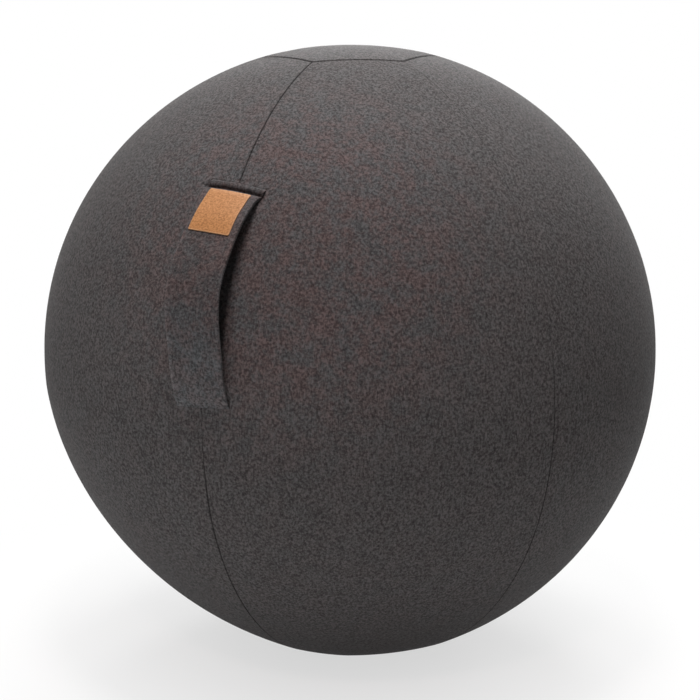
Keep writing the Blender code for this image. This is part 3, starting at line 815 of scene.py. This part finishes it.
def felt_colour(tree, coords, fleck, woven):
    """Dark and pale fibres pressed together, with soft patches of tint; the tint is painted warm light,
    strongest at the front.
    """
    tone = math(tree, "ADD", math(tree, "MULTIPLY", fleck, 0.62), math(tree, "MULTIPLY", woven, 0.38))
    colour = mix(tree, spread(tree, tone, 0.38, 0.685), FELT_DARK, FELT_PALE)
    patch = spread(tree, grain(tree, coords, 40.0, 4.0, 0.85), 0.36, 0.64)
    tint = mix(tree, patch, TINT_WARM, TINT_COOL)
    # painted warm light: the tint fades away from the front of the ball
    off = {0: coords, 1: PAINTED_WARM_LIGHT_SPOT}
    away = node(tree, "ShaderNodeVectorMath", off, operation="DISTANCE").outputs["Value"]
    return mix(tree, spread(tree, away, 0.08, 0.24, 1.0, 0.15), colour, tint, "MULTIPLY")


def cover_shade(tree, place, edge):
    """Brightness of the cover: painted shade in the folds along its seams, and painted shade under the
    strap.
    """
    # painted shade in the folds along the seams
    near = spread(tree, edge, 0.0, 0.0013, 0.40, 1.0)
    # painted shade under the strap, between its ends, on the front of the ball
    across = spread(tree, math(tree, "ABSOLUTE", place[0]), 0.014, 0.021, 1.0, 0.0)
    low, high = CENTRE.z + BALL_R * sin(STRAP_END), CENTRE.z + BALL_R * sin(STRAP_TOP)
    within = math(tree, "MULTIPLY", spread(tree, place[2], low, low + 0.04),
                  spread(tree, place[2], high - 0.02, high, 1.0, 0.0))
    front = spread(tree, place[1], -0.20, -0.10, 1.0, 0.0)
    painted_shade_under_strap = math(tree, "MULTIPLY", math(tree, "MULTIPLY", across, within), front)
    return math(tree, "MULTIPLY", near, spread(tree, painted_shade_under_strap, 0.0, 1.0, 1.0, STRAP_PAINTED_SHADE))


def strap_shade(tree, place, edge, wear_and_low_end):
    """Brightness of the strap: painted light that makes it darker towards its top and paler towards its low
    end, and a painted highlight along its left edge.
    """
    # painted light: darker towards the strap's top, paler towards its low end
    painted_light_along_strap = spread(tree, wear_and_low_end, 0.0, 1.0, 0.81, 1.18)
    # painted highlight along the strap's left edge
    left = spread(tree, place[0], -0.021, -0.013, 1.0, 0.0)
    pale = math(tree, "MULTIPLY", spread(tree, edge, 0.0008, 0.0032, 0.42, 0.0), left)
    pale = math(tree, "MULTIPLY", pale, spread(tree, attribute(tree, "along"), 0.060, 0.110))
    return math(tree, "ADD", painted_light_along_strap, pale)


def felt_material(name, seams):
    """Heathered felt of the cover, with puckers along its seams, or of the strap, which has none."""
    material, tree, shader = new_material(name, 0.92, Sheen_Weight=0.03, Sheen_Roughness=0.45,
                                          Specular_IOR_Level=0.08)
    coords = object_coords(tree)
    place = node(tree, "ShaderNodeSeparateXYZ", {0: coords}).outputs
    edge, along = attribute(tree, "edge"), attribute(tree, "along")
    fleck, woven = felt_grain(tree, coords)
    colour = felt_colour(tree, coords, fleck, woven)
    height = math(tree, "ADD", math(tree, "MULTIPLY", fleck, 0.7), math(tree, "MULTIPLY", woven, 0.5))
    if seams:
        near = cover_shade(tree, place, edge)
        wave = math(tree, "SINE", math(tree, "MULTIPLY", along, 2 * pi / 0.0046))
        pucker = math(tree, "MULTIPLY", wave, spread(tree, edge, 0.001, 0.007, 0.35, 0.0))
        height = math(tree, "ADD", height, pucker)
    else:
        # share of the way to the strap's low end, which sets its tint and its painted light
        wear_and_low_end = spread(tree, along, 0.080, 0.215)
        colour = mix(tree, 1.0, colour, mix(tree, wear_and_low_end, STRAP_TOP_TINT, STRAP_LOW_TINT), "MULTIPLY")
        near = strap_shade(tree, place, edge, wear_and_low_end)
    shade = node(tree, "ShaderNodeCombineColor", {0: near, 1: near, 2: near}).outputs[0]
    colour = mix(tree, 1.0, colour, shade, "MULTIPLY")
    bump = node(tree, "ShaderNodeBump", {"Strength": 0.45, "Distance": 0.0006, "Height": height})
    tree.links.new(colour, shader.inputs["Base Color"])
    tree.links.new(bump.outputs[0], shader.inputs["Normal"])
    tree.links.new(spread(tree, woven, 0.3, 0.8, 0.98, 0.84), shader.inputs["Roughness"])
    return material


def weave_material(name, dark, pale, pitch):
    """Woven cloth: threads across it and along it, over and under each other."""
    material, tree, shader = new_material(name, 0.85, Sheen_Weight=0.12, Sheen_Roughness=0.5,
                                          Specular_IOR_Level=0.25)
    coords = object_coords(tree)
    across = node(tree, "ShaderNodeSeparateXYZ", {0: coords}).outputs[0]
    one = math(tree, "SINE", math(tree, "MULTIPLY", across, 2 * pi / pitch))
    two = math(tree, "SINE", math(tree, "MULTIPLY", attribute(tree, "along"), 2 * pi / pitch))
    weave = math(tree, "MULTIPLY", one, two)
    weave = math(tree, "ADD", math(tree, "MULTIPLY", weave, 0.5), 0.5)
    fuzz = grain(tree, coords, 1500.0, 2.0)
    tone = math(tree, "ADD", math(tree, "MULTIPLY", weave, 0.6), math(tree, "MULTIPLY", fuzz, 0.4))
    colour = mix(tree, spread(tree, tone, 0.2, 0.8), (*dark, 1), (*pale, 1))
    bump = node(tree, "ShaderNodeBump", {"Strength": 0.5, "Distance": 0.0003, "Height": tone})
    tree.links.new(colour, shader.inputs["Base Color"])
    tree.links.new(bump.outputs[0], shader.inputs["Normal"])
    return material


def label_material():
    """Tanned leather with a fine grain and pale cut edges."""
    material, tree, shader = new_material("label_leather", 0.62, Specular_IOR_Level=0.22)
    coords = object_coords(tree)
    cells = node(tree, "ShaderNodeTexVoronoi", {"Vector": coords, "Scale": 1100.0}).outputs["Distance"]
    mottle = grain(tree, coords, 620.0, 3.0, 0.62)
    cloud = grain(tree, coords, 70.0, 2.0, 0.5)
    colour = mix(tree, spread(tree, mottle, 0.33, 0.68), LEATHER_DARK, LEATHER_PALE)
    colour = mix(tree, math(tree, "MULTIPLY", cloud, 0.3), colour, LEATHER_CLOUD)
    edge = attribute(tree, "edge")
    colour = mix(tree, spread(tree, edge, 0.0002, 0.0010, 0.5, 0.0), colour, LEATHER_EDGE)
    height = math(tree, "ADD", math(tree, "MULTIPLY", cells, 0.8), math(tree, "MULTIPLY", mottle, 0.4))
    bump = node(tree, "ShaderNodeBump", {"Strength": 0.35, "Distance": 0.0002, "Height": height})
    tree.links.new(colour, shader.inputs["Base Color"])
    tree.links.new(bump.outputs[0], shader.inputs["Normal"])
    tree.links.new(spread(tree, mottle, 0.3, 0.7, 0.72, 0.52), shader.inputs["Roughness"])
    return material


def hard_material(name, colour, roughness, metallic, scale):
    """Moulded resin, vinyl or plated metal: fine unevenness, and edges that wear makes a little paler."""
    material, tree, shader = new_material(name, roughness, Metallic=metallic)
    coords = object_coords(tree)
    fine = grain(tree, coords, scale, 3.0, 0.6)
    wear_and_low_end = spread(tree, node(tree, "ShaderNodeNewGeometry").outputs["Pointiness"], 0.52, 0.60)
    pale = tuple(min(1.0, 1.7 * c + 0.03) for c in colour)
    body = mix(tree, fine, (*[0.82 * c for c in colour], 1), (*[1.18 * c for c in colour], 1))
    base = mix(tree, math(tree, "MULTIPLY", wear_and_low_end, 0.6), body, (*pale, 1))
    bump = node(tree, "ShaderNodeBump", {"Strength": 0.2, "Distance": 0.0001, "Height": fine})
    tree.links.new(base, shader.inputs["Base Color"])
    tree.links.new(bump.outputs[0], shader.inputs["Normal"])
    uneven = spread(tree, fine, 0.2, 0.8, roughness - 0.08, roughness + 0.10)
    tree.links.new(uneven, shader.inputs["Roughness"])
    return material


# Pieces on their bodies

felt = felt_material("felt_cover", True)
strap_felt = felt_material("felt_strap", False)

for index, place in enumerate(("front_right", "right", "rear_right", "rear_left", "left", "front_left")):
    gore = make_gore("felt_" + place, index)
    gore.data.materials.append(felt)
    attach(gore, "ball")
    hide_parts("gore_" + place)

for name, cad, up, first in (("felt_crown", "top_cap", 1, CAP_ANGLE / 10),
                             ("felt_foot", "base_cap", -1, FOOT_ANGLE)):
    cap = make_cap(name, up, first)
    cap.data.materials.append(felt)
    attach(cap, "ball")
    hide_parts(cad)

lining, face, label = make_strap()
strap_length = strap_column(0.0)[0][-1]
webbing = weave_material("strap_webbing", (0.020, 0.020, 0.021), (0.062, 0.060, 0.061), 0.0022)
for piece, cad, slot, material in ((lining, "handle_lining", "webbing", webbing),
                                   (face, "handle_face", "felt", strap_felt),
                                   (label, "label_patch", "label", label_material())):
    piece.data.materials.append(material)
    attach(piece, "handle")
    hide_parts(cad)
    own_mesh(piece)

tape_cloth = weave_material("zip_tape_cloth", (0.014, 0.014, 0.015), (0.045, 0.045, 0.047), 0.0011)
for name, side in (("left", -1), ("right", 1)):
    tape = make_tape("tape_" + name, side)
    tape.data.materials.append(tape_cloth)
    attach(tape, "ball")
    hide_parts("zip_tape_" + name)

thread = slot_stitching()
twist = weave_material("sewing_thread", (0.020, 0.019, 0.020), (0.070, 0.067, 0.068), 0.0007)
thread.data.materials.append(twist)
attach(thread, "ball")

resin = hard_material("zip_resin", (0.022, 0.022, 0.024), 0.42, 0.0, 900.0)
steel = hard_material("zip_metal", (0.30, 0.30, 0.31), 0.36, 1.0, 1400.0)
vinyl = hard_material("bladder_vinyl", (0.35, 0.36, 0.37), 0.45, 0.0, 160.0)
metal_parts = ("zip_top_stop_left", "zip_top_stop_right", "zip_bottom_stop", "zip_slider", "zip_pull")
for names, material in ((("zip_teeth_left", "zip_teeth_right"), resin), (metal_parts, steel),
                        (("valve_seat", "valve_plug"), vinyl)):
    for name in names:
        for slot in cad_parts[name].material_slots:
            slot.material = material

bladder = make_bladder()
bladder.data.materials.append(vinyl)
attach(bladder, "ball")
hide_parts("bladder")


# Camera, floor and light

FLOOR_R = 6.0
SHADOW_R = 0.55  # past this distance the floor is as white as the backdrop
FLOOR_GLOW = 0.62  # share of that white which it has under the ball

scene = bpy.context.scene
scene.view_settings.view_transform = "Standard"

VIEW_AZIMUTH = radians(24.5)
VIEW_ELEVATION = radians(13.55)
VIEW_DISTANCE = 1.82
camera = bpy.data.objects.new("camera", bpy.data.cameras.new("camera"))
scene.collection.objects.link(camera)
camera.location = CENTRE + VIEW_DISTANCE * towards(VIEW_AZIMUTH, VIEW_ELEVATION)
camera.rotation_euler = (CENTRE - camera.location).to_track_quat("-Z", "Y").to_euler()
camera.data.lens = 86.93
camera.data.shift_x = -0.0008
camera.data.sensor_width = 36.0
scene.camera = camera


def white_to_camera(tree):
    """1 for rays that look at the backdrop, straight or in a reflection."""
    path = node(tree, "ShaderNodeLightPath").outputs
    seen = math(tree, "MAXIMUM", path["Is Camera Ray"], path["Is Glossy Ray"])
    return math(tree, "MAXIMUM", seen, path["Is Transmission Ray"])


def make_floor():
    """Pale floor with a soft shadow round the ball, and white further out."""
    bm = bmesh.new()
    bmesh.ops.create_circle(bm, cap_ends=True, segments=64, radius=FLOOR_R)
    floor = mesh_object("floor", bm)
    material = bpy.data.materials.new("floor")
    material.use_nodes = True
    tree = material.node_tree
    tree.nodes.clear()
    away = node(tree, "ShaderNodeVectorMath", {0: object_coords(tree)}, operation="LENGTH").outputs["Value"]
    far = spread(tree, away, 0.0, SHADOW_R, FLOOR_GLOW, 1.0)
    share = math(tree, "MULTIPLY", white_to_camera(tree), far)
    cloth = node(tree, "ShaderNodeBsdfDiffuse", {"Color": (0.76, 0.76, 0.76, 1)})
    glow = node(tree, "ShaderNodeEmission", {"Color": (1, 1, 1, 1), "Strength": 1.0})
    both = node(tree, "ShaderNodeMixShader", {0: share, 1: cloth.outputs[0], 2: glow.outputs[0]})
    node(tree, "ShaderNodeOutputMaterial", {"Surface": both.outputs[0]})
    floor.data.materials.append(material)


def make_world():
    """White backdrop that sheds no light on matt surfaces."""
    world = bpy.data.worlds.new("studio")
    scene.world = world
    world.use_nodes = True
    tree = world.node_tree
    tree.links.new(white_to_camera(tree), tree.nodes["Background"].inputs["Strength"])
    tree.nodes["Background"].inputs["Color"].default_value = (1, 1, 1, 1)


def make_lamp(name, azimuth, elevation, distance, size, power, colour=(1, 1, 1)):
    """Round lamp that faces the ball's centre. Its angles are in degrees."""
    light = bpy.data.lights.new(name, "AREA")
    light.color = colour
    light.shape = "DISK"
    light.size = size
    light.energy = power
    lamp = bpy.data.objects.new(name, light)
    scene.collection.objects.link(lamp)
    lamp.location = CENTRE + distance * towards(radians(azimuth), radians(elevation))
    lamp.rotation_euler = (CENTRE - lamp.location).to_track_quat("-Z", "Y").to_euler()


WARM = (1.0, 0.81, 0.79)
MILD = (1.0, 0.93, 0.92)
make_floor()
make_world()
make_lamp("front", 16, 38, 2.6, 0.30, 10.4, WARM)
make_lamp("overhead", 20, 76, 2.4, 0.5, 45, MILD)
make_lamp("back", 204, 66, 2.4, 0.8, 37)
make_lamp("back_right", 158, 62, 2.4, 0.8, 21)
make_lamp("rim", 204, 26, 2.4, 0.6, 30)
make_lamp("rim_right", 165, 22, 2.4, 0.6, 4.5)
make_lamp("left_low", -50, -5, 2.0, 0.5, 5.8)
make_lamp("front_low", 4, -6, 1.7, 0.35, 2.2)
